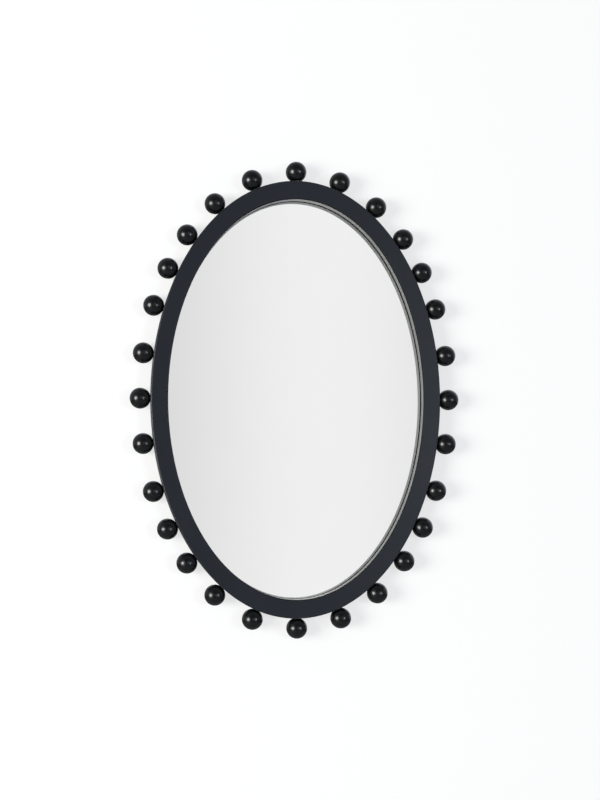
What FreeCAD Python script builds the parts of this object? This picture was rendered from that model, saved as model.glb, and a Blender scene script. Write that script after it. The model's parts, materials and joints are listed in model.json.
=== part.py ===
"""Oval wall mirror with a beaded edge, built as a parametric document in millimetres.

Frame: +Z up, +X to the right as seen from the front, +Y into the wall.
Origin: the oval's centre on the wall plane that the rear bumpers rest on.
"""
import FreeCAD, Part
import math
import os
import Sketcher

Vector = FreeCAD.Vector
Rotation = FreeCAD.Rotation
Placement = FreeCAD.Placement

# Driving dimensions in millimetres, angles in degrees
DIMENSIONS = {
    # Oval frame ring
    "frame_width": 407.0,
    "frame_height": 609.0,
    "frame_depth": 20.0,
    "face_side": 24.0,
    "face_end": 26.0,
    "front_round": 2.0,
    "sight_round": 1.5,
    "rear_round": 1.0,
    # Rebate, glass and board
    "rebate_lap": 8.0,
    "rebate_play": 1.0,
    "glass_thickness": 3.0,
    "glass_arris": 0.4,
    "board_thickness": 3.0,
    # Balls and their dowels
    "ball_diameter": 29.0,
    "ball_seat": 0.5,
    "ball_end_step": 10.95,
    "ball_flank_step": 16.9,
    "dowel_diameter": 6.0,
    "dowel_in_frame": 10.0,
    "dowel_in_ball": 10.0,
    "dowel_play": 0.05,
    "drill_run_out": 0.5,
    # Wood screws
    "screw_diameter": 3.0,
    "screw_length": 12.0,
    "screw_tip": 2.5,
    "screw_play": 0.06,
    "head_diameter": 6.4,
    "head_edge": 0.6,
    "head_height": 2.0,
    "recess_span": 3.6,
    "recess_width": 0.9,
    "recess_depth": 1.1,
    # Turn buttons
    "fixing_inset": 8.0,
    "button_width": 10.0,
    "button_reach": 15.0,
    "button_thickness": 1.2,
    # D-ring hangers
    "strap_width": 8.0,
    "strap_thickness": 1.0,
    "strap_hole": 7.0,
    "strap_end": 6.0,
    "strap_corner": 2.0,
    "eye_play": 0.06,
    "ring_wire": 2.4,
    "ring_width": 19.0,
    "ring_reach": 14.0,
    "ring_corner": 3.0,
    # Wall bumpers
    "wall_gap": 6.0,
    "bumper_diameter": 12.0,
    "bumper_face": 10.0,
}

# Balls each side of the top and bottom centre, and each side of the flank centre
END_BALLS = 4
FLANK_BALLS = 2

# The curl of the hanger's eye, from the plate's underside round to its lip
EYE_CURL = 280.0

# Gaps between neighbouring balls, numbered clockwise from the top, that hold rear fixings
BUTTON_GAPS = (1, 5, 8, 12, 15, 19, 22, 26)
HANGER_GAPS = {"right": 4, "left": 23}
BUMPER_GAPS = {"right": 10, "left": 17}


class Size:
    """A value together with the spreadsheet expression that gives it."""

    def __init__(self, value, text):
        self.value = value
        self.text = text

    def __add__(self, other):
        other = as_size(other)
        return Size(self.value + other.value, f"({self.text} + {other.text})")

    def __sub__(self, other):
        other = as_size(other)
        return Size(self.value - other.value, f"({self.text} - {other.text})")

    def __mul__(self, factor):
        return Size(self.value * factor, f"({self.text} * {factor})")

    def __truediv__(self, divisor):
        return Size(self.value / divisor, f"({self.text} / {divisor})")


def as_size(number):
    return number if isinstance(number, Size) else Size(number, str(number))


def make_sheet(doc):
    """Put every driving dimension in the spreadsheet and return them as sizes."""
    sheet = doc.addObject("Spreadsheet::Sheet", "sizes")
    for row, (alias, value) in enumerate(DIMENSIONS.items(), start=1):
        sheet.set(f"A{row}", alias)
        sheet.set(f"B{row}", str(value))
        sheet.setAlias(f"B{row}", alias)
    doc.recompute()
    return {alias: Size(sheet.get(alias), f"sizes.{alias}") for alias in DIMENSIONS}


doc = FreeCAD.newDocument("oval_wall_mirror")
size = make_sheet(doc)

# Sizes that several pieces share
back_plane = size["wall_gap"]
front_plane = size["wall_gap"] + size["frame_depth"]
rebate_depth = size["glass_thickness"] + size["board_thickness"]
glass_plane = back_plane + rebate_depth
sight_width = size["frame_width"] - size["face_side"] * 2
sight_height = size["frame_height"] - size["face_end"] * 2
rebate_width = sight_width + size["rebate_lap"] * 2
rebate_height = sight_height + size["rebate_lap"] * 2
panel_width = rebate_width - size["rebate_play"] * 2
panel_height = rebate_height - size["rebate_play"] * 2
ball_radius = size["ball_diameter"] / 2
ball_plane = back_plane + size["frame_depth"] / 2
dowel_bore = size["dowel_diameter"] / 2 + size["dowel_play"]
screw_bore = size["screw_diameter"] / 2 + size["screw_play"]
eye_inner = size["ring_wire"] / 2 + size["eye_play"]
eye_outer = eye_inner + size["strap_thickness"]


def bind(feature, **sizes):
    """Tie the feature's properties to spreadsheet expressions."""
    for name, value in sizes.items():
        feature.setExpression(name, as_size(value).text)


def new_body(label):
    body = doc.addObject("PartDesign::Body", label)
    body.Label = label
    return body


def new_sketch(body, name, role, offset=None):
    """Sketch on one of the body's own origin planes, moved along its normal by offset."""
    plane = next(item for item in body.Origin.OriginFeatures if item.Role == role)
    sketch = body.newObject("Sketcher::SketchObject", name)
    sketch.AttachmentSupport = (plane, [""])
    sketch.MapMode = "FlatFace"
    if offset is not None:
        sketch.setExpression("AttachmentOffset.Base.z", as_size(offset).text)
    return sketch


def constrain(sketch, kind, *references, value=None):
    """Add a constraint, bound to a size where one is given."""
    if value is None:
        sketch.addConstraint(Sketcher.Constraint(kind, *references))
        return
    value = as_size(value)
    index = sketch.addConstraint(Sketcher.Constraint(kind, *references, value.value))
    sketch.setExpression(f"Constraints[{index}]", value.text)


# Sketcher's names for the axes, the origin and the points of an edge
ORIGIN, X_AXIS, Y_AXIS = -1, -1, -2
START, END, CENTRE = range(1, 4)


def place_point(sketch, edge, point, x, y):
    """Fix a sketch point at x, y, where 0 puts it on an axis."""
    for value, kind, axis in ((x, "DistanceX", Y_AXIS), (y, "DistanceY", X_AXIS)):
        if isinstance(value, Size):
            constrain(sketch, kind, ORIGIN, START, edge, point, value=value)
        else:
            constrain(sketch, "PointOnObject", edge, point, axis)


def oval_sketch(body, name, offset, width, height):
    """An upright ellipse about the origin in the XZ plane, offset towards the front."""
    sketch = new_sketch(body, name, "XZ_Plane", offset)
    top = Vector(0, height.value / 2, 0)
    side = Vector(width.value / 2, 0, 0)
    sketch.addGeometry(Part.Ellipse(top, side, Vector(0, 0, 0)), False)
    sketch.exposeInternalGeometry(0)
    long_axis, short_axis = 1, 2
    constrain(sketch, "Coincident", 0, CENTRE, ORIGIN, START)
    constrain(sketch, "Vertical", long_axis)
    constrain(sketch, "Distance", long_axis, value=height)
    constrain(sketch, "Distance", short_axis, value=width)
    return sketch


def pad(body, name, sketch, length, reversed_way=False, midplane=False):
    feature = body.newObject("PartDesign::Pad", name)
    feature.Profile = sketch
    feature.Reversed = reversed_way
    feature.Midplane = midplane
    bind(feature, Length=length)
    doc.recompute()
    return feature


def pocket(body, name, sketch, depth=None, reversed_way=False):
    """Cut the sketch to a depth, or right through where none is given, and see that it cuts."""
    before = body.Shape.Volume
    feature = body.newObject("PartDesign::Pocket", name)
    feature.Profile = sketch
    feature.Reversed = reversed_way
    if depth is None:
        feature.Type = "ThroughAll"
    else:
        bind(feature, Length=depth)
    doc.recompute()
    if body.Shape.Volume >= before:
        raise RuntimeError(f"{name} removes nothing from {body.Label}")
    return feature


def edges_of(feature, chosen):
    """Names of the feature's edges that the test chooses."""
    return [f"Edge{number}" for number, edge in enumerate(feature.Shape.Edges, start=1) if chosen(edge)]


def rim_edge(feature, plane, width):
    """The closed oval edge that lies at a depth and spans a width."""
    def chosen(edge):
        box = edge.BoundBox
        flat = abs(box.YMin + plane.value) < 1e-3 and abs(box.YMax + plane.value) < 1e-3
        return flat and abs(box.XLength - width.value) < 1e-2
    return edges_of(feature, chosen)


def dress(body, kind, name, base, edges, amount):
    """Fillet or chamfer the named edges."""
    if not edges:
        raise RuntimeError(f"{name} finds no edge on {body.Label}")
    feature = body.newObject(f"PartDesign::{kind}", name)
    feature.Base = (base, edges)
    bind(feature, **{"Radius" if kind == "Fillet" else "Size": amount})
    doc.recompute()
    return feature


def turned_body(label, corners, arcs):
    """Revolve a closed profile about the body's Z axis.

    corners are (x, z) sizes, and arcs numbers the edges that are arcs centred on the axis.
    """
    body = new_body(label)
    sketch = new_sketch(body, f"{label}_profile", "XZ_Plane")
    points = [Vector(as_size(x).value, as_size(z).value, 0) for x, z in corners]
    count = len(corners)
    for number in range(count):
        start, end = points[number], points[(number + 1) % count]
        if number in arcs:
            sketch.addGeometry(arc_about_axis(start, end), False)
        else:
            sketch.addGeometry(Part.LineSegment(start, end), False)
    for number in range(count):
        constrain(sketch, "Coincident", number, END, (number + 1) % count, START)
        place_point(sketch, number, START, *corners[number])
    for number in arcs:
        constrain(sketch, "PointOnObject", number, CENTRE, Y_AXIS)
    feature = body.newObject("PartDesign::Revolution", f"{label}_turning")
    feature.Profile = sketch
    feature.ReferenceAxis = (sketch, ["V_Axis"])
    doc.recompute()
    return body


def arc_about_axis(start, end):
    """The counter-clockwise arc from start up to end, centred on the sketch's Y axis."""
    centre_y = (end.dot(end) - start.dot(start)) / (2 * (end.y - start.y))
    centre = Vector(0, centre_y, 0)
    circle = Part.Circle(centre, Vector(0, 0, 1), (start - centre).Length)
    first = math.atan2(start.y - centre_y, start.x)
    last = math.atan2(end.y - centre_y, end.x)
    return Part.ArcOfCircle(circle, first, last)


def ball_angles():
    """Directions of the balls from the oval's centre, clockwise from the top."""
    end_step = size["ball_end_step"].value
    flank_step = size["ball_flank_step"].value
    angles = []
    for middle, step, reach in ((0, end_step, END_BALLS), (90, flank_step, FLANK_BALLS),
                                (180, end_step, END_BALLS), (270, flank_step, FLANK_BALLS)):
        angles += [(middle + step * k) % 360 for k in range(-reach, reach + 1)]
    return sorted(angles)


def rim_point(angle):
    """The point of the frame's outer edge in a direction, and the edge's outward normal there."""
    half_width = size["frame_width"].value / 2
    half_height = size["frame_height"].value / 2
    along = Vector(math.sin(math.radians(angle)), 0, math.cos(math.radians(angle)))
    reach = 1 / math.hypot(along.x / half_width, along.z / half_height)
    foot = along * reach
    normal = Vector(foot.x / half_width ** 2, 0, foot.z / half_height ** 2)
    normal.normalize()
    return foot, normal


ANGLES = ball_angles()


def gap_angle(gap):
    """The direction midway between a ball and the next one clockwise."""
    after = ANGLES[(gap + 1) % len(ANGLES)]
    if after < ANGLES[gap]:
        after += 360
    return (ANGLES[gap] + after) / 2


def fixing_point(gap):
    """Where a rear fixing's centre lies on the frame's back, and the outward normal there."""
    foot, normal = rim_point(gap_angle(gap))
    centre = foot - normal * size["fixing_inset"].value
    return Vector(centre.x, -back_plane.value, centre.z), normal


def facing_wall(origin, along):
    """A placement whose X runs along a direction and whose Z points into the wall."""
    return Placement(origin, Rotation(along, Vector(), Vector(0, 1, 0), "ZXY"))


def seat_placement(angle, lift=0.0):
    """A placement on the frame's outer edge at mid depth, whose Z points straight outwards."""
    foot, normal = rim_point(angle)
    origin = Vector(foot.x, -ball_plane.value, foot.z) + normal * lift
    return Placement(origin, Rotation(Vector(0, 1, 0), Vector(), normal, "ZXY"))


def rod(name, radius, length, placement):
    """A plain round rod from a Part primitive."""
    cylinder = doc.addObject("Part::Cylinder", name)
    bind(cylinder, Radius=radius, Height=length)
    cylinder.Placement = placement
    return cylinder


def group(label, pieces):
    compound = doc.addObject("Part::Compound", label)
    compound.Label = label
    compound.Links = pieces
    return compound


def make_ring_blank():
    """The frame ring with its sight opening, rear rebate and rounded edges."""
    body = new_body("ring_blank")
    outline = oval_sketch(body, "ring_outline", back_plane, size["frame_width"], size["frame_height"])
    pad(body, "ring_pad", outline, size["frame_depth"])
    sight = oval_sketch(body, "sight_outline", front_plane, sight_width, sight_height)
    pocket(body, "sight_opening", sight)
    rebate = oval_sketch(body, "rebate_outline", back_plane, rebate_width, rebate_height)
    feature = pocket(body, "rebate", rebate, rebate_depth, reversed_way=True)
    for name, plane, width, amount in (
            ("front_edge", front_plane, size["frame_width"], size["front_round"]),
            ("sight_edge", front_plane, sight_width, size["sight_round"]),
            ("rear_edge", back_plane, size["frame_width"], size["rear_round"])):
        feature = dress(body, "Fillet", name, feature, rim_edge(feature, plane, width), amount)
    return body


def make_frame_ring(blank):
    """Drill the blank for the dowels in its edge and the screws in its back."""
    drills = []
    dowel_hole = size["dowel_in_frame"] + size["drill_run_out"]
    mouth = size["drill_run_out"]
    for number, angle in enumerate(ANGLES, start=1):
        seat = seat_placement(angle, -dowel_hole.value)
        drills.append(rod(f"dowel_drill_{number:02d}", dowel_bore, dowel_hole + mouth, seat))
    screw_hole = size["screw_length"]
    for number, gap in enumerate(BUTTON_GAPS + tuple(HANGER_GAPS.values()), start=1):
        origin, normal = fixing_point(gap)
        seat = facing_wall(origin - Vector(0, screw_hole.value, 0), normal)
        drills.append(rod(f"screw_drill_{number:02d}", screw_bore, screw_hole + mouth, seat))
    ring = doc.addObject("Part::Cut", "frame_ring")
    ring.Label = "frame_ring"
    ring.Base = blank
    ring.Tool = group("drill_holes", drills)
    return ring


def make_glass():
    """The silvered glass, with its sharp edges taken off."""
    body = new_body("mirror_glass")
    plane = back_plane + size["board_thickness"]
    outline = oval_sketch(body, "glass_outline", plane, panel_width, panel_height)
    feature = pad(body, "glass_pad", outline, size["glass_thickness"])
    edges = rim_edge(feature, plane, panel_width) + rim_edge(feature, glass_plane, panel_width)
    dress(body, "Chamfer", "glass_edge", feature, edges, size["glass_arris"])
    return body


def make_backboard():
    """The board behind the glass, flush with the back of the frame."""
    body = new_body("backboard")
    outline = oval_sketch(body, "board_outline", back_plane, panel_width, panel_height)
    pad(body, "board_pad", outline, size["board_thickness"])
    return body


def make_ball(number, angle):
    """A turned ball with a flat seat and a bore for its dowel."""
    centre = ball_radius - size["ball_seat"]
    bore_depth = size["dowel_in_ball"] + size["drill_run_out"]
    seat_radius = Size(math.sqrt(ball_radius.value ** 2 - centre.value ** 2),
                       f"sqrt({ball_radius.text} ^ 2 - {centre.text} ^ 2)")
    corners = [(dowel_bore, 0), (seat_radius, 0), (0, centre + ball_radius), (0, bore_depth),
               (dowel_bore, bore_depth)]
    body = turned_body(f"ball_{number:02d}", corners, arcs=(1,))
    body.Placement = seat_placement(angle)
    return body


def make_dowels():
    """One wooden dowel for each ball, half in the frame and half in the ball."""
    length = size["dowel_in_frame"] + size["dowel_in_ball"]
    radius = size["dowel_diameter"] / 2
    dowels = [rod(f"dowel_{number:02d}", radius, length, seat_placement(angle, -size["dowel_in_frame"].value))
              for number, angle in enumerate(ANGLES, start=1)]
    return group("ball_dowels", dowels)


def make_screw(name, gap, plate):
    """A round-head wood screw through a plate on the frame's back, with a cross recess."""
    length = size["screw_length"]
    shank = size["screw_diameter"] / 2
    head = size["head_diameter"] / 2
    top = length + size["head_height"]
    corners = [(0, 0), (shank, size["screw_tip"]), (shank, length), (head, length),
               (head, length + size["head_edge"]), (0, top)]
    body = turned_body(name, corners, arcs=(4,))
    for turn, (wide, high) in enumerate((("recess_span", "recess_width"), ("recess_width", "recess_span"))):
        slot = new_sketch(body, f"{name}_slot_{turn}", "XY_Plane", top)
        draw_rectangle(slot, size[wide], size[high])
        pocket(body, f"{name}_recess_{turn}", slot, size["recess_depth"])
    origin, normal = fixing_point(gap)
    body.Placement = facing_wall(origin + Vector(0, plate.value - length.value, 0), normal)
    return body


def draw_rectangle(sketch, width, height):
    """A rectangle centred on the sketch's origin."""
    x, y = width.value / 2, height.value / 2
    corners = [Vector(x, -y, 0), Vector(x, y, 0), Vector(-x, y, 0), Vector(-x, -y, 0)]
    for number in range(4):
        sketch.addGeometry(Part.LineSegment(corners[number], corners[(number + 1) % 4]), False)
    for number in range(4):
        constrain(sketch, "Coincident", number, END, (number + 1) % 4, START)
        constrain(sketch, "Horizontal" if number % 2 else "Vertical", number)
    constrain(sketch, "Symmetric", 0, START, 1, END, ORIGIN, START)
    constrain(sketch, "DistanceX", 1, END, 1, START, value=width)
    constrain(sketch, "DistanceY", 0, START, 0, END, value=height)


def make_button(number, gap):
    """A flat turn button that pivots on its screw and laps the backboard."""
    label = f"turn_button_{number}"
    body = new_body(label)
    sketch = new_sketch(body, f"{label}_outline", "XY_Plane")
    radius = size["button_width"] / 2
    reach = size["button_reach"]
    r, tip = radius.value, reach.value
    up = Vector(0, 0, 1)
    quarter = math.pi / 2
    sketch.addGeometry(Part.ArcOfCircle(Part.Circle(Vector(), up, r), quarter, 3 * quarter), False)
    sketch.addGeometry(Part.LineSegment(Vector(0, -r, 0), Vector(tip, -r, 0)), False)
    sketch.addGeometry(Part.ArcOfCircle(Part.Circle(Vector(tip, 0, 0), up, r), -quarter, quarter), False)
    sketch.addGeometry(Part.LineSegment(Vector(tip, r, 0), Vector(0, r, 0)), False)
    sketch.addGeometry(Part.Circle(Vector(), up, screw_bore.value), False)
    for edge, point, next_edge in ((0, END, 1), (1, END, 2), (2, END, 3), (3, END, 0)):
        constrain(sketch, "Tangent", edge, point, next_edge, START)
    constrain(sketch, "Coincident", 0, CENTRE, ORIGIN, START)
    constrain(sketch, "Coincident", 4, CENTRE, ORIGIN, START)
    place_point(sketch, 2, CENTRE, reach, 0)
    constrain(sketch, "Radius", 0, value=radius)
    constrain(sketch, "Radius", 4, value=screw_bore)
    pad(body, f"{label}_plate", sketch, size["button_thickness"])
    origin, normal = fixing_point(gap)
    body.Placement = facing_wall(origin, normal * -1)
    return body


def hanger_placement(side):
    """The eye's axis on the frame's back, with X pointing inwards along the strap."""
    origin, _ = fixing_point(HANGER_GAPS[side])
    inwards = Vector(1 if side == "left" else -1, 0, 0)
    return facing_wall(origin + inwards * size["strap_hole"].value, inwards)


def make_strap(side):
    """A hanger strap: a screwed plate whose end is rolled into an eye for the ring."""
    label = f"hanger_strap_{side}"
    body = new_body(label)
    sketch = new_sketch(body, f"{label}_profile", "XZ_Plane")
    inner, outer = eye_inner.value, eye_outer.value
    thickness = size["strap_thickness"].value
    length = size["strap_hole"] + size["strap_end"]
    far = -length.value
    up = Vector(0, 0, 1)
    eye = Vector(0, outer, 0)
    bottom = math.radians(-90)
    lip = math.radians(EYE_CURL - 90)
    outer_lip = eye + Vector(math.cos(lip), math.sin(lip), 0) * outer
    inner_lip = eye + Vector(math.cos(lip), math.sin(lip), 0) * inner
    sketch.addGeometry(Part.LineSegment(Vector(far, 0, 0), Vector(0, 0, 0)), False)
    sketch.addGeometry(Part.ArcOfCircle(Part.Circle(eye, up, outer), bottom, lip), False)
    sketch.addGeometry(Part.LineSegment(outer_lip, inner_lip), False)
    sketch.addGeometry(Part.ArcOfCircle(Part.Circle(eye, up, inner), bottom, lip), False)
    sketch.addGeometry(Part.LineSegment(Vector(0, thickness, 0), Vector(far, thickness, 0)), False)
    sketch.addGeometry(Part.LineSegment(Vector(far, thickness, 0), Vector(far, 0, 0)), False)
    constrain(sketch, "Tangent", 0, END, 1, START)
    constrain(sketch, "Coincident", 1, END, 2, START)
    constrain(sketch, "Coincident", 2, END, 3, END)
    constrain(sketch, "Tangent", 3, START, 4, START)
    constrain(sketch, "Coincident", 4, END, 5, START)
    constrain(sketch, "Coincident", 5, END, 0, START)
    constrain(sketch, "Vertical", 5)
    constrain(sketch, "Coincident", 0, END, ORIGIN, START)
    constrain(sketch, "Coincident", 3, CENTRE, 1, CENTRE)
    constrain(sketch, "Horizontal", 0)
    constrain(sketch, "PointOnObject", 1, CENTRE, 2)
    constrain(sketch, "Radius", 1, value=eye_outer)
    constrain(sketch, "Radius", 3, value=eye_inner)
    constrain(sketch, "DistanceX", 0, START, 0, END, value=length)
    sketch.addConstraint(Sketcher.Constraint("Angle", 1, math.radians(EYE_CURL)))
    feature = pad(body, f"{label}_fold", sketch, size["strap_width"], midplane=True)

    def plate_corner(edge):
        box = edge.BoundBox
        upright = box.ZLength > 1e-3 and box.XLength < 1e-3 and box.YLength < 1e-3
        return upright and abs(box.XMin - far) < 1e-3
    dress(body, "Fillet", f"{label}_corners", feature, edges_of(feature, plate_corner), size["strap_corner"])
    hole = new_sketch(body, f"{label}_hole", "XY_Plane")
    hole.addGeometry(Part.Circle(Vector(-size["strap_hole"].value, 0, 0), up, screw_bore.value), False)
    constrain(hole, "PointOnObject", 0, CENTRE, X_AXIS)
    constrain(hole, "DistanceX", 0, CENTRE, ORIGIN, START, value=size["strap_hole"])
    constrain(hole, "Radius", 0, value=screw_bore)
    pocket(body, f"{label}_screw_hole", hole, size["strap_thickness"], reversed_way=True)
    body.Placement = hanger_placement(side)
    return body


def make_ring(side):
    """A D-ring bent from round wire, whose straight bar turns in the strap's eye."""
    label = f"hanger_ring_{side}"
    body = new_body(label)
    path = new_sketch(body, f"{label}_path", "XY_Plane", eye_outer)
    half = size["ring_width"] / 2
    corner = size["ring_corner"]
    bow = size["ring_reach"] - half
    h, c, b = half.value, corner.value, bow.value
    up = Vector(0, 0, 1)
    quarter = math.pi / 2
    path.addGeometry(Part.LineSegment(Vector(0, h - c, 0), Vector(0, c - h, 0)), False)
    path.addGeometry(Part.ArcOfCircle(Part.Circle(Vector(c, c - h, 0), up, c), 2 * quarter, 3 * quarter), False)
    path.addGeometry(Part.LineSegment(Vector(c, -h, 0), Vector(b, -h, 0)), False)
    path.addGeometry(Part.ArcOfCircle(Part.Circle(Vector(b, 0, 0), up, h), -quarter, quarter), False)
    path.addGeometry(Part.LineSegment(Vector(b, h, 0), Vector(c, h, 0)), False)
    path.addGeometry(Part.ArcOfCircle(Part.Circle(Vector(c, h - c, 0), up, c), quarter, 2 * quarter), False)
    for edge in range(6):
        constrain(path, "Tangent", edge, END, (edge + 1) % 6, START)
    constrain(path, "PointOnObject", 0, START, Y_AXIS)
    constrain(path, "Vertical", 0)
    place_point(path, 3, CENTRE, bow, 0)
    constrain(path, "Radius", 3, value=half)
    constrain(path, "Radius", 1, value=corner)
    constrain(path, "Equal", 1, 5)
    section = new_sketch(body, f"{label}_section", "XZ_Plane")
    section.addGeometry(Part.Circle(Vector(0, eye_outer.value, 0), up, size["ring_wire"].value / 2), False)
    place_point(section, 0, CENTRE, 0, eye_outer)
    constrain(section, "Radius", 0, value=size["ring_wire"] / 2)
    feature = body.newObject("PartDesign::AdditivePipe", f"{label}_wire")
    feature.Profile = section
    feature.Spine = path
    doc.recompute()
    body.Placement = hanger_placement(side)
    return body


def make_bumper(side):
    """A rubber bumper on the frame's back, whose flat face rests on the wall."""
    base = size["bumper_diameter"] / 2
    face = size["bumper_face"] / 2
    corners = [(0, 0), (base, 0), (face, size["wall_gap"]), (0, size["wall_gap"])]
    body = turned_body(f"bumper_{side}", corners, arcs=())
    origin, normal = fixing_point(BUMPER_GAPS[side])
    body.Placement = facing_wall(origin, normal)
    return body


def build():
    """Make every sub-part of the mirror, in order from the frame to the fixings."""
    nodes = [make_frame_ring(make_ring_blank()), make_glass(), make_backboard()]
    nodes += [make_ball(number, angle) for number, angle in enumerate(ANGLES, start=1)]
    nodes.append(make_dowels())
    nodes += [make_button(number, gap) for number, gap in enumerate(BUTTON_GAPS, start=1)]
    screws = [make_screw(f"button_screw_{gap}", gap, size["button_thickness"]) for gap in BUTTON_GAPS]
    nodes.append(group("turn_button_screws", screws))
    for side in ("left", "right"):
        nodes += [make_strap(side), make_ring(side), make_bumper(side)]
    screws = [make_screw(f"hanger_screw_{side}", gap, size["strap_thickness"])
              for side, gap in HANGER_GAPS.items()]
    nodes.append(group("hanger_screws", screws))
    doc.recompute()
    return nodes


def check(nodes):
    """Stop if any object failed to build or any sub-part's shape is empty or broken."""
    for item in doc.Objects:
        if "Invalid" in item.State or "Error" in item.State:
            raise RuntimeError(f"{item.Label} failed: {item.State}")
    for node in nodes:
        if node.Shape.isNull() or not node.Shape.isValid() or not node.Shape.Solids:
            raise RuntimeError(f"{node.Label} has no valid solid")


nodes = build()
check(nodes)
os.makedirs("parts", exist_ok=True)
for node in nodes:
    node.Shape.exportStep(f"parts/{node.Label}.step")
    box = node.Shape.BoundBox
    print(f"{node.Label}: {len(node.Shape.Solids)} solids, {node.Shape.Volume:.1f} mm3,"
          f" y {box.YMin:.2f} to {box.YMax:.2f}")
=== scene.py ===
"""Looks of the oval wall mirror: its finishes, a plain white wall and floor, and the camera."""

import json
import math

import bpy
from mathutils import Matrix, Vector


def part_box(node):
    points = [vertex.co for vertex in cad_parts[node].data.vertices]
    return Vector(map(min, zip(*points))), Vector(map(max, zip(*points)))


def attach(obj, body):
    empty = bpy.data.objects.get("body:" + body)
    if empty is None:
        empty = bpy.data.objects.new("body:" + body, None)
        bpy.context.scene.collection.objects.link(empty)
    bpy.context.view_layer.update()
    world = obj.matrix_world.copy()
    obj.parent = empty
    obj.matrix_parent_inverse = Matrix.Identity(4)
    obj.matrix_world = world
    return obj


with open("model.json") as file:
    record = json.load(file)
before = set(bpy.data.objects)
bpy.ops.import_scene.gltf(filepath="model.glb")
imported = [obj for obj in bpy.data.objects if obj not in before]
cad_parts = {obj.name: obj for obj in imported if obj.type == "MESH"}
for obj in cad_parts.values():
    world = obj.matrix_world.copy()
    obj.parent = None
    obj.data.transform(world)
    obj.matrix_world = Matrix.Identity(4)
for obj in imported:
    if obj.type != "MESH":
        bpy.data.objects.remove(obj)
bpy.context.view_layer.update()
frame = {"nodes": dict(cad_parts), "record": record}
nodes = frame["nodes"]

MM = 0.001
WHITE = (1.0, 1.0, 1.0)

# Camera, in metres, degrees and pixels of the 600 by 800 picture
CAMERA_PLACE = (-0.274, -1.676, -0.090)
CAMERA_YAW = 6.5
CAMERA_PITCH = 1.5
FOCAL_PIXELS = 1205
PICTURE_HEIGHT = 800
SENSOR_WIDTH = 36
CAMERA_SHIFT = (0.08, 0.04)
CAMERA_CLIP = (0.05, 50.0)

# Wall and floor: lengths in metres, then the lit and the glowing share of their white near and far
FLOOR_LEVEL = -1.5
STAGE_REACH = 8.0
STAGE_TOP = 5.0
STAGE_FADE = (1.5, 4.5)
WALL_WHITE = {"lit": (0.31, 0.31), "glow": (0.685, 0.685)}
FLOOR_WHITE = {"lit": (0.28, 0.0), "glow": (0.42, 1.0)}

# Round softboxes: degrees right of straight ahead and above level, radius in degrees, radiance
SOFTBOX_DISTANCE = 5.0
KEY_LIGHT = {"turn": -52.8, "rise": -0.6, "radius": 13.3, "colour": (1.0, 0.99, 0.945), "radiance": 18.4}
FILL_LIGHT = {"turn": 32.8, "rise": -0.6, "radius": 6.5, "colour": (0.82, 0.92, 1.0), "radiance": 15.0}

# Light of the room itself: its tint and its radiance ahead, at the sides and behind
ROOM_TINT = (0.93, 0.98, 1.06)
ROOM_AHEAD = 0.19
ROOM_SIDE = 0.46
ROOM_BACK = 0.80

# Where it changes from one to the next, as the inward share of a direction: -1 is ahead, 1 is behind
AHEAD_TO_SIDE = (-0.88, -0.35)
SIDE_TO_BACK = (-0.15, 0.15)

# An upright screen ahead and a round glow behind, in degrees and radiance as the softboxes are
PALE_SCREEN = {"turn": 10.5, "spread": 9.2, "low": (-24.0, -10.0), "high": (14.5, 26.0), "radiance": 0.80}
REAR_GLOW = {"turn": 146.0, "rise": 26.0, "core": 22.8, "rim": 49.4, "radiance": 0.55}

# What the mirror shows of the room: a pale ground and a soft paler band, in radiance and degrees
PALE_ROOM = {"ground": 0.62, "band": 0.305, "turn": 10.8, "spread": 6.0}

# Shares of the floor's white and of the room's light that gloss shows
GLOSSY_FLOOR = 0.12
GLOSSY_ROOM = 0.60


class NodeTree:
    """A node tree, with short calls that add, feed and link its nodes."""

    def __init__(self, tree):
        self.tree = tree

    def add(self, kind, **settings):
        node = self.tree.nodes.new(kind)
        for name, value in settings.items():
            setattr(node, name, value)
        return node

    def feed(self, socket, value):
        """Link an output to a socket, or set the socket to a constant."""
        if isinstance(value, bpy.types.NodeSocket):
            self.tree.links.new(value, socket)
        elif isinstance(value, (tuple, list)) and len(value) == 3 and socket.type == "RGBA":
            socket.default_value = (*value, 1.0)
        else:
            socket.default_value = value

    def math(self, operation, first, second=0.0):
        node = self.add("ShaderNodeMath", operation=operation)
        self.feed(node.inputs[0], first)
        self.feed(node.inputs[1], second)
        return node.outputs[0]

    def product(self, first, *others):
        for other in others:
            first = self.math("MULTIPLY", first, other)
        return first

    def span(self, amount, source, target, smooth=False):
        """Map an amount from one range to another, held at the ends."""
        node = self.add("ShaderNodeMapRange", interpolation_type="SMOOTHSTEP" if smooth else "LINEAR")
        self.feed(node.inputs["Value"], amount)
        for name, value in zip(("From Min", "From Max", "To Min", "To Max"), (*source, *target)):
            node.inputs[name].default_value = value
        return node.outputs["Result"]

    def hump(self, amount, middle, spread):
        """A bell curve that is 1 where the amount is at its middle."""
        away = self.math("SUBTRACT", amount, middle)
        share = self.math("DIVIDE", away, spread * math.sqrt(2.0))
        return self.math("EXPONENT", self.math("MULTIPLY", self.math("POWER", share, 2.0), -1.0))

    def vector(self, operation, first, second):
        node = self.add("ShaderNodeVectorMath", operation=operation)
        self.feed(node.inputs[0], first)
        self.feed(node.inputs[1], second)
        return node

    def either(self, choice, first, second):
        """The first shader where the choice is 0, the second where it is 1."""
        node = self.add("ShaderNodeMixShader")
        for socket, value in zip(node.inputs, (choice, first, second)):
            self.feed(socket, value)
        return node.outputs[0]


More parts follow.
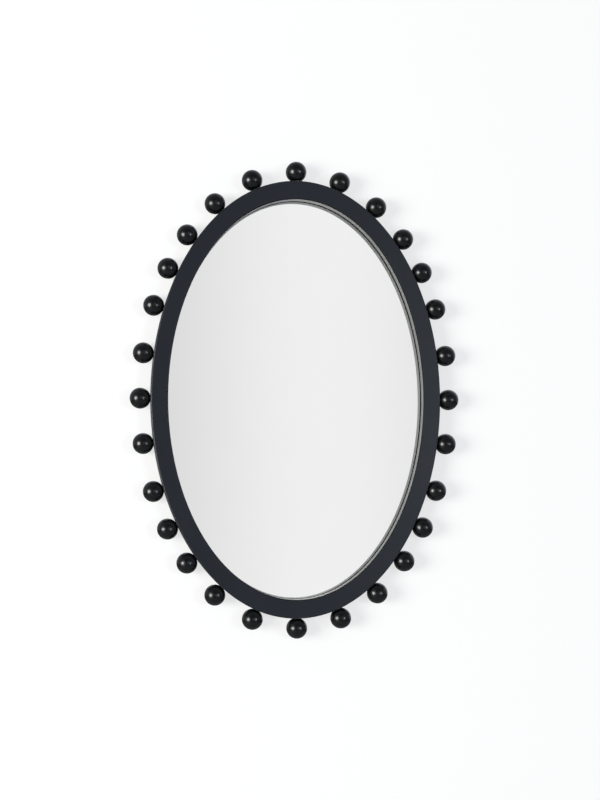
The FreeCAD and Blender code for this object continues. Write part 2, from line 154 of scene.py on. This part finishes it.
class Finish(NodeTree):
    """A material with one main shader, and calls for the patterns that shape it."""

    def __init__(self, name):
        self.material = bpy.data.materials.new(name)
        self.material.use_nodes = True
        super().__init__(self.material.node_tree)
        self.shader = self.tree.nodes["Principled BSDF"]
        self.place = self.add("ShaderNodeTexCoord").outputs["Object"]

    def set(self, **inputs):
        """Feed the main shader's inputs, named with underscores for spaces."""
        for name, value in inputs.items():
            self.feed(self.shader.inputs[name.replace("_", " ")], value)

    def stretched(self, scale):
        """The place on the object, stretched by a factor along each axis."""
        node = self.add("ShaderNodeMapping")
        self.feed(node.inputs["Vector"], self.place)
        node.inputs["Scale"].default_value = scale
        return node.outputs["Vector"]

    def noise(self, size, detail=3.0, contrast=0.55, place=None):
        """Cloudy noise from 0 to 1 whose features are about one size, in metres."""
        node = self.add("ShaderNodeTexNoise")
        self.feed(node.inputs["Vector"], place or self.place)
        node.inputs["Scale"].default_value = 1.0 / size
        node.inputs["Detail"].default_value = detail
        node.inputs["Roughness"].default_value = contrast
        return node.outputs["Fac"]

    def cells(self, size, place=None):
        """Distance to the nearest of scattered points about one size apart."""
        node = self.add("ShaderNodeTexVoronoi")
        self.feed(node.inputs["Vector"], place or self.place)
        node.inputs["Scale"].default_value = 1.0 / size
        return node.outputs["Distance"]

    def tint(self, amount, low, high):
        """Blend two colours, each a constant or another blend's output."""
        node = self.add("ShaderNodeMix", data_type="RGBA")
        self.feed(node.inputs["Factor"], amount)
        self.feed(node.inputs[6], low)
        self.feed(node.inputs[7], high)
        return node.outputs[2]

    def bump(self, height, depth, under=None):
        """A normal that follows a height of 0 to 1, scaled to a depth in metres."""
        node = self.add("ShaderNodeBump")
        node.inputs["Distance"].default_value = depth
        self.feed(node.inputs["Height"], height)
        if under is not None:
            self.feed(node.inputs["Normal"], under)
        return node.outputs["Normal"]

    def axis(self, name):
        """One coordinate of the place on the object."""
        node = self.add("ShaderNodeSeparateXYZ")
        self.feed(node.inputs[0], self.place)
        return node.outputs[name]

    def oval(self, half_width, half_height):
        """Distance from the oval's axis as a share of an ellipse: 1 on the ellipse itself."""
        across = self.math("DIVIDE", self.axis("X"), half_width)
        upwards = self.math("DIVIDE", self.axis("Z"), half_height)
        square = self.math("ADD", self.math("POWER", across, 2.0), self.math("POWER", upwards, 2.0))
        return self.math("SQRT", square)


def frame_paint():
    """Matt blue-black paint: fine orange peel, cloudy sheen, a rubbed outer edge and a dry sight edge."""
    blue_black = ((0.0048, 0.0069, 0.0118), (0.0068, 0.0092, 0.0150))
    rubbed_grey = (0.040, 0.044, 0.050)
    dry_black = (0.0022, 0.0026, 0.0034)
    # Pale colour of the sight wall: partly thin paint, partly painted sheen
    pale_coat_and_sheen = (0.235, 0.245, 0.235)
    paint = Finish("frame_paint")
    low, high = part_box("frame_ring")
    glass_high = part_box("mirror_glass")[1]
    lap = 7 * MM
    outer = paint.oval(high.x, high.z)
    inner = paint.oval(glass_high.x - lap, glass_high.z - lap)
    depth = paint.math("SUBTRACT", paint.axis("Y"), low.y)
    cloud = paint.noise(55 * MM, 3.0)
    peel = paint.noise(1.6 * MM, 2.0, 0.45)
    grit = paint.noise(0.35 * MM, 1.0)

    # The outer front edge is rubbed in patches
    rubbed = paint.span(outer, (0.985, 1.0), (0.0, 1.0), smooth=True)
    near_front = paint.span(depth, (1 * MM, 4 * MM), (1.0, 0.0), smooth=True)
    patchy = paint.span(paint.noise(9 * MM, 4.0, 0.65), (0.45, 0.72), (0.0, 1.0), smooth=True)
    wear = paint.product(rubbed, near_front, patchy)
    body = paint.tint(cloud, *blue_black)
    body = paint.tint(paint.product(wear, 0.55), body, rubbed_grey)

    # The rounded sight edge is dry and black
    on_round = paint.span(inner, (1.0015, 1.0075), (1.0, 0.0), smooth=True)
    at_front = paint.span(depth, (2 * MM, 3 * MM), (1.0, 0.0), smooth=True)
    dry = paint.product(on_round, at_front)
    body = paint.tint(dry, body, dry_black)

    # The wall between that edge and the glass is painted pale: partly a thin coat, partly painted sheen
    on_wall = paint.span(inner, (1.0005, 1.0040), (1.0, 0.0), smooth=True)
    past_round = paint.span(depth, (2.2 * MM, 3.4 * MM), (0.0, 1.0), smooth=True)
    # Painted shade: the pale wall turns darker deeper into the recess
    deeper_painted_shade = paint.span(depth, (5.5 * MM, 9.5 * MM), (1.0, 0.72), smooth=True)
    uneven = paint.span(cloud, (0.2, 0.8), (0.85, 1.0))
    coat_and_sheen_share = paint.product(on_wall, past_round, deeper_painted_shade, uneven)
    body = paint.tint(coat_and_sheen_share, body, pale_coat_and_sheen)

    rough = paint.span(cloud, (0.3, 0.7), (0.36, 0.44))
    rough = paint.math("SUBTRACT", rough, paint.product(wear, 0.10))
    rough = paint.math("ADD", rough, paint.product(dry, 0.50))
    surface = paint.bump(peel, 0.018 * MM)
    surface = paint.bump(grit, 0.004 * MM, surface)
    paint.set(Base_Color=body, Roughness=rough, Normal=surface, Specular_IOR_Level=0.34,
              Sheen_Weight=0.54, Sheen_Roughness=0.35, Sheen_Tint=WHITE)
    return paint.material


def ball_lacquer():
    """Satin black lacquer, sprayed from the front: faint pores, soft waves, dust specks and a dry rear."""
    black = ((0.0010, 0.0013, 0.0017), (0.0020, 0.0023, 0.0027))
    dust = (0.10, 0.10, 0.10)
    lacquer = Finish("ball_lacquer")
    cloud = lacquer.noise(7 * MM, 4.0, 0.6)
    pores = lacquer.noise(0.9 * MM, 3.0, 0.6, lacquer.stretched((1.0, 0.25, 1.0)))
    speck = lacquer.span(lacquer.cells(3.2 * MM), (0.025, 0.05), (1.0, 0.0), smooth=True)
    body = lacquer.tint(cloud, *black)
    body = lacquer.tint(lacquer.product(speck, 0.30), body, dust)

    # The rear half is rougher than the front
    rough = lacquer.span(cloud, (0.3, 0.7), (0.23, 0.30))
    mid_depth = (-19 * MM, -13 * MM)
    dry = lacquer.span(lacquer.axis("Y"), mid_depth, (0.0, 0.42), smooth=True)
    rough = lacquer.math("ADD", rough, dry)
    surface = lacquer.bump(pores, 0.0018 * MM)
    surface = lacquer.bump(cloud, 0.002 * MM, surface)
    lacquer.set(Base_Color=body, Roughness=rough, Normal=surface, Specular_IOR_Level=0.47)
    return lacquer.material


def clear_glass():
    """Clear float glass with a faint, uneven green body and the slightest wave.

    Its index is 1, so that its front gives no second image beside the one in the silvering.
    """
    glass = Finish("clear_glass")
    wave = glass.noise(90 * MM, 1.0)
    body = glass.tint(glass.noise(30 * MM, 4.0), (0.984, 0.989, 0.985), (0.988, 0.991, 0.989))
    glass.set(Base_Color=body, Roughness=0.0, Normal=glass.bump(wave, 0.004 * MM),
              IOR=1.0, Transmission_Weight=1.0)
    return glass.material


def silvering():
    """The silver layer behind the glass, very slightly uneven."""
    silver = Finish("silvering")
    cloud = silver.noise(60 * MM, 3.0)
    body = silver.tint(cloud, (0.940, 0.940, 0.940), (0.954, 0.954, 0.954))
    silver.set(Base_Color=body, Metallic=1.0, Roughness=silver.span(cloud, (0.3, 0.7), (0.0, 0.006)))
    return silver.material


def hardboard():
    """Brown pressed board: matted fibres, dark flecks and the weave of the press screen."""
    fibres = ((0.150, 0.088, 0.046), (0.330, 0.215, 0.125))
    even_brown = (0.275, 0.180, 0.108)
    dark_brown = (0.135, 0.082, 0.044)
    fleck_brown = (0.070, 0.040, 0.022)
    board = Finish("hardboard")
    fibre = board.noise(1.4 * MM, 5.0, 0.7, board.stretched((1.0, 1.0, 0.45)))
    cloud = board.noise(70 * MM, 4.0)
    specks = board.cells(5 * MM, board.stretched((1.0, 1.0, 0.5)))
    fleck = board.span(specks, (0.05, 0.16), (1.0, 0.0), smooth=True)
    mottle = board.span(board.noise(22 * MM, 5.0, 0.65), (0.42, 0.70), (0.0, 0.30), smooth=True)
    pitch = 1.8 * MM
    weave = []
    for name in ("X", "Z"):
        turn = board.product(board.axis(name), 2 * math.pi / pitch)
        weave.append(board.span(board.math("SINE", turn), (-1.0, 1.0), (0.0, 1.0)))
    body = board.tint(fibre, *fibres)
    body = board.tint(board.span(cloud, (0.3, 0.7), (0.0, 0.55)), body, even_brown)
    body = board.tint(mottle, body, dark_brown)
    body = board.tint(board.product(fleck, 0.55), body, fleck_brown)
    rough = board.span(fibre, (0.3, 0.7), (0.78, 0.55))
    surface = board.bump(board.product(*weave), 0.10 * MM)
    surface = board.bump(fibre, 0.06 * MM, surface)
    board.set(Base_Color=body, Roughness=rough, Normal=surface, Specular_IOR_Level=0.35)
    return board.material


def zinc(name, grain, dull, bright):
    """Bright zinc plate on steel: drawn grain, uneven sheen and a faint yellow and blue cast."""
    yellow_cast = (0.66, 0.63, 0.55)
    blue_cast = (0.58, 0.61, 0.64)
    dull_grey = (0.42, 0.42, 0.41)
    plate = Finish(name)
    lines = plate.noise(0.5 * MM, 3.0, 0.6, plate.stretched(grain))
    cloud = plate.noise(5 * MM, 4.0)
    cast = plate.span(plate.noise(11 * MM, 2.0), (0.35, 0.65), (0.0, 1.0))
    stain = plate.span(cloud, (0.55, 0.75), (0.0, 0.5), smooth=True)
    body = plate.tint(cast, yellow_cast, blue_cast)
    body = plate.tint(stain, body, dull_grey)
    rough = plate.span(cloud, (0.3, 0.7), (bright, dull))
    plate.set(Base_Color=body, Metallic=1.0, Roughness=rough, Normal=plate.bump(lines, 0.012 * MM))
    return plate.material


def rubber():
    """Matt black moulded rubber with a dusty bloom."""
    moulded = Finish("bumper_rubber")
    bloom = moulded.noise(4 * MM, 4.0)
    pits = moulded.noise(0.4 * MM, 2.0)
    dusty = moulded.span(bloom, (0.5, 0.75), (0.0, 1.0))
    body = moulded.tint(dusty, (0.014, 0.014, 0.015), (0.045, 0.044, 0.042))
    rough = moulded.span(bloom, (0.3, 0.7), (0.70, 0.88))
    surface = moulded.bump(pits, 0.03 * MM)
    moulded.set(Base_Color=body, Roughness=rough, Normal=surface, Specular_IOR_Level=0.35)
    return moulded.material


def raw_beech():
    """Unfinished beech: fine flecks on a pale ground."""
    beech = Finish("raw_beech")
    grain = beech.noise(2.5 * MM, 5.0, 0.65)
    fleck = beech.span(beech.cells(1.6 * MM), (0.08, 0.22), (1.0, 0.0), smooth=True)
    body = beech.tint(grain, (0.43, 0.28, 0.16), (0.62, 0.46, 0.30))
    body = beech.tint(beech.product(fleck, 0.5), body, (0.30, 0.18, 0.10))
    rough = beech.span(grain, (0.3, 0.7), (0.62, 0.78))
    beech.set(Base_Color=body, Roughness=rough, Normal=beech.bump(grain, 0.04 * MM))
    return beech.material


def dress_nodes():
    """Give every node of the frame the finish of its material slot."""
    finishes = {
        "frame_paint": frame_paint(),
        "ball_lacquer": ball_lacquer(),
        "silvered_glass": clear_glass(),
        "hardboard": hardboard(),
        "raw_beech": raw_beech(),
        "zinc_plate": zinc("zinc_plate", (1.0, 1.0, 0.12), dull=0.44, bright=0.27),
        "zinc_wire": zinc("zinc_wire", (0.3, 1.0, 0.3), dull=0.34, bright=0.20),
        "zinc_screw": zinc("zinc_screw", (1.0, 0.2, 1.0), dull=0.40, bright=0.26),
        "bumper_rubber": rubber(),
    }
    for part in frame["record"]["subparts"]:
        nodes[part["node"]].data.materials[0] = finishes[part["material_slot"]]


def oval_points(half_width, half_height, depth, count):
    """Points of an upright ellipse at one depth, clockwise from the top."""
    points = []
    for number in range(count):
        turn = 2 * math.pi * number / count
        points.append((half_width * math.sin(turn), depth, half_height * math.cos(turn)))
    return points


def make_silvering():
    """A thin oval layer just inside the back of the glass."""
    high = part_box("mirror_glass")[1]
    inset = 0.6 * MM
    lift = 0.05 * MM
    thickness = 0.1 * MM
    count = 180
    rear = high.y - lift
    half_width, half_height = high.x - inset, high.z - inset
    points = oval_points(half_width, half_height, rear - thickness, count)
    points += oval_points(half_width, half_height, rear, count)
    faces = [tuple(range(count)), tuple(range(2 * count - 1, count - 1, -1))]
    for number in range(count):
        after = (number + 1) % count
        faces.append((after, number, count + number, count + after))
    mesh = bpy.data.meshes.new("mirror_silvering")
    mesh.from_pydata(points, [], faces)
    mesh.materials.append(silvering())
    layer = bpy.data.objects.new("mirror_silvering", mesh)
    bpy.context.scene.collection.objects.link(layer)
    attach(layer, "mirror")


def stage_white(name, shares):
    """White that keeps shadows in its lit share, glows by another share and is clear from behind.

    Both shares go from their near to their far value with the distance from the middle of the room.
    """
    material = bpy.data.materials.new(name)
    material.use_nodes = True
    white = NodeTree(material.node_tree)
    white.tree.nodes.clear()
    place = white.add("ShaderNodeTexCoord").outputs["Object"]
    flat = white.vector("MULTIPLY", place, (1.0, 1.0, 0.0)).outputs[0]
    away = white.vector("LENGTH", flat, (0.0, 0.0, 0.0)).outputs["Value"]
    lit = white.span(away, STAGE_FADE, shares["lit"], smooth=True)
    glow = white.span(away, STAGE_FADE, shares["glow"], smooth=True)

    # The mirror and glossy finishes see the same white, each in the brightness of its own room
    path = white.add("ShaderNodeLightPath").outputs
    glossy = white.product(path["Is Glossy Ray"], GLOSSY_FLOOR)
    mirrored = white.product(path["Is Transmission Ray"], PALE_ROOM["ground"])
    seen = white.math("MAXIMUM", path["Is Camera Ray"], white.math("MAXIMUM", glossy, mirrored))

    diffuse = white.add("ShaderNodeBsdfDiffuse")
    white.feed(diffuse.inputs["Color"], lit)
    emission = white.add("ShaderNodeEmission")
    white.feed(emission.inputs["Strength"], white.product(glow, seen))
    both = white.add("ShaderNodeAddShader")
    white.feed(both.inputs[0], diffuse.outputs[0])
    white.feed(both.inputs[1], emission.outputs[0])
    clear = white.add("ShaderNodeBsdfTransparent").outputs[0]
    behind = white.add("ShaderNodeNewGeometry").outputs["Backfacing"]
    output = white.add("ShaderNodeOutputMaterial")
    white.feed(output.inputs["Surface"], white.either(behind, both.outputs[0], clear))
    return material


def make_stage_sheet(name, corners, shares):
    """One flat sheet of the room, facing the side from which its corners run anticlockwise."""
    mesh = bpy.data.meshes.new(name)
    mesh.from_pydata(corners, [], [(0, 1, 2, 3)])
    mesh.materials.append(stage_white(name, shares))
    sheet = bpy.data.objects.new(name, mesh)
    bpy.context.scene.collection.objects.link(sheet)
    return sheet


def make_room():
    """A white wall that only the camera sees, right behind the mirror, and a pale floor."""
    reach, top, floor = STAGE_REACH, STAGE_TOP, FLOOR_LEVEL
    wall_corners = [(-reach, 0, floor), (reach, 0, floor), (reach, 0, top), (-reach, 0, top)]
    wall = make_stage_sheet("wall", wall_corners, WALL_WHITE)
    wall.visible_diffuse = False
    wall.visible_glossy = False
    wall.visible_transmission = False
    wall.visible_shadow = False
    corners = [(-reach, -reach), (reach, -reach), (reach, reach), (-reach, reach)]
    make_stage_sheet("floor", [(*corner, floor) for corner in corners], FLOOR_WHITE)


def direction(turn, rise):
    """Unit vector towards a place in the room, from degrees right of straight ahead and above level."""
    turn, rise = math.radians(turn), math.radians(rise)
    return Vector((math.sin(turn) * math.cos(rise), -math.cos(turn) * math.cos(rise), math.sin(rise)))


def make_softbox(name, settings):
    """A round lamp that faces the middle of the mirror and isn't seen in it."""
    way = direction(settings["turn"], settings["rise"])
    radius = SOFTBOX_DISTANCE * math.tan(math.radians(settings["radius"]))
    area = math.pi * radius ** 2
    data = bpy.data.lights.new(name, "AREA")
    data.shape = "DISK"
    data.size = 2 * radius
    data.color = settings["colour"]
    data.energy = settings["radiance"] * math.pi * area
    lamp = bpy.data.objects.new(name, data)
    lamp.location = way * SOFTBOX_DISTANCE
    lamp.rotation_euler = way.to_track_quat("Z", "Y").to_euler()
    lamp.visible_camera = False
    lamp.visible_transmission = False
    bpy.context.scene.collection.objects.link(lamp)


def make_world():
    """Light the room softly from all round, and show the camera plain white and the mirror a pale room."""
    world = bpy.data.worlds.new("studio")
    bpy.context.scene.world = world
    world.use_nodes = True
    room = NodeTree(world.node_tree)
    room.tree.nodes.clear()
    way = room.add("ShaderNodeTexCoord").outputs["Generated"]
    parts = room.add("ShaderNodeSeparateXYZ")
    room.feed(parts.inputs[0], way)
    across, inwards, upwards = parts.outputs
    turn = room.math("ARCTAN2", across, room.math("MULTIPLY", inwards, -1.0))
    rise = room.math("ARCSINE", upwards)

    def radians(angles):
        return [math.radians(angle) for angle in angles]

    # The room grows lighter from straight ahead to its sides and its back, and gloss shows it dimmer
    light = room.span(inwards, AHEAD_TO_SIDE, (ROOM_AHEAD, ROOM_SIDE), smooth=True)
    behind = room.span(inwards, SIDE_TO_BACK, (0.0, ROOM_BACK - ROOM_SIDE), smooth=True)
    path = room.add("ShaderNodeLightPath").outputs
    dimmed = room.span(path["Is Glossy Ray"], (0.0, 1.0), (1.0, GLOSSY_ROOM))
    light = room.product(room.math("ADD", light, behind), dimmed)

    # A pale screen stands ahead, upright and with soft ends
    screen = room.hump(turn, *radians((PALE_SCREEN["turn"], PALE_SCREEN["spread"])))
    foot = room.span(rise, radians(PALE_SCREEN["low"]), (0.0, PALE_SCREEN["radiance"]), smooth=True)
    head = room.span(rise, radians(PALE_SCREEN["high"]), (1.0, 0.0), smooth=True)
    light = room.math("ADD", light, room.product(screen, foot, head))

    # A round glow lights the back
    centre = direction(REAR_GLOW["turn"], REAR_GLOW["rise"])
    facing = room.vector("DOT_PRODUCT", way, centre).outputs["Value"]
    edges = [math.cos(angle) for angle in radians((REAR_GLOW["rim"], REAR_GLOW["core"]))]
    light = room.math("ADD", light, room.span(facing, edges, (0.0, REAR_GLOW["radiance"]), smooth=True))

    # The mirror shows a pale ground with a paler upright band
    band = room.hump(turn, *radians((PALE_ROOM["turn"], PALE_ROOM["spread"])))
    pale = room.math("ADD", room.product(band, PALE_ROOM["band"]), PALE_ROOM["ground"])

    def background(strength, colour=WHITE):
        node = room.add("ShaderNodeBackground")
        room.feed(node.inputs["Color"], colour)
        room.feed(node.inputs["Strength"], strength)
        return node.outputs[0]

    # The camera sees plain white, the mirror its pale room, and all else the light
    shown = room.either(path["Is Transmission Ray"], background(light, ROOM_TINT), background(pale))
    shown = room.either(path["Is Camera Ray"], shown, background(1.0))
    room.feed(room.add("ShaderNodeOutputWorld").inputs["Surface"], shown)


def make_camera():
    """The camera stands left of the mirror and a little below its centre."""
    data = bpy.data.cameras.new("camera")
    data.sensor_width = SENSOR_WIDTH
    data.lens = FOCAL_PIXELS * SENSOR_WIDTH / PICTURE_HEIGHT
    data.shift_x, data.shift_y = CAMERA_SHIFT
    data.clip_start, data.clip_end = CAMERA_CLIP
    camera = bpy.data.objects.new("camera", data)
    camera.location = CAMERA_PLACE
    camera.rotation_euler = (math.radians(90 + CAMERA_PITCH), 0.0, math.radians(-CAMERA_YAW))
    bpy.context.scene.collection.objects.link(camera)
    bpy.context.scene.camera = camera


dress_nodes()
make_silvering()
make_room()
make_world()
make_softbox("key_softbox", KEY_LIGHT)
make_softbox("fill_softbox", FILL_LIGHT)
make_camera()
bpy.context.scene.view_settings.view_transform = "Standard"
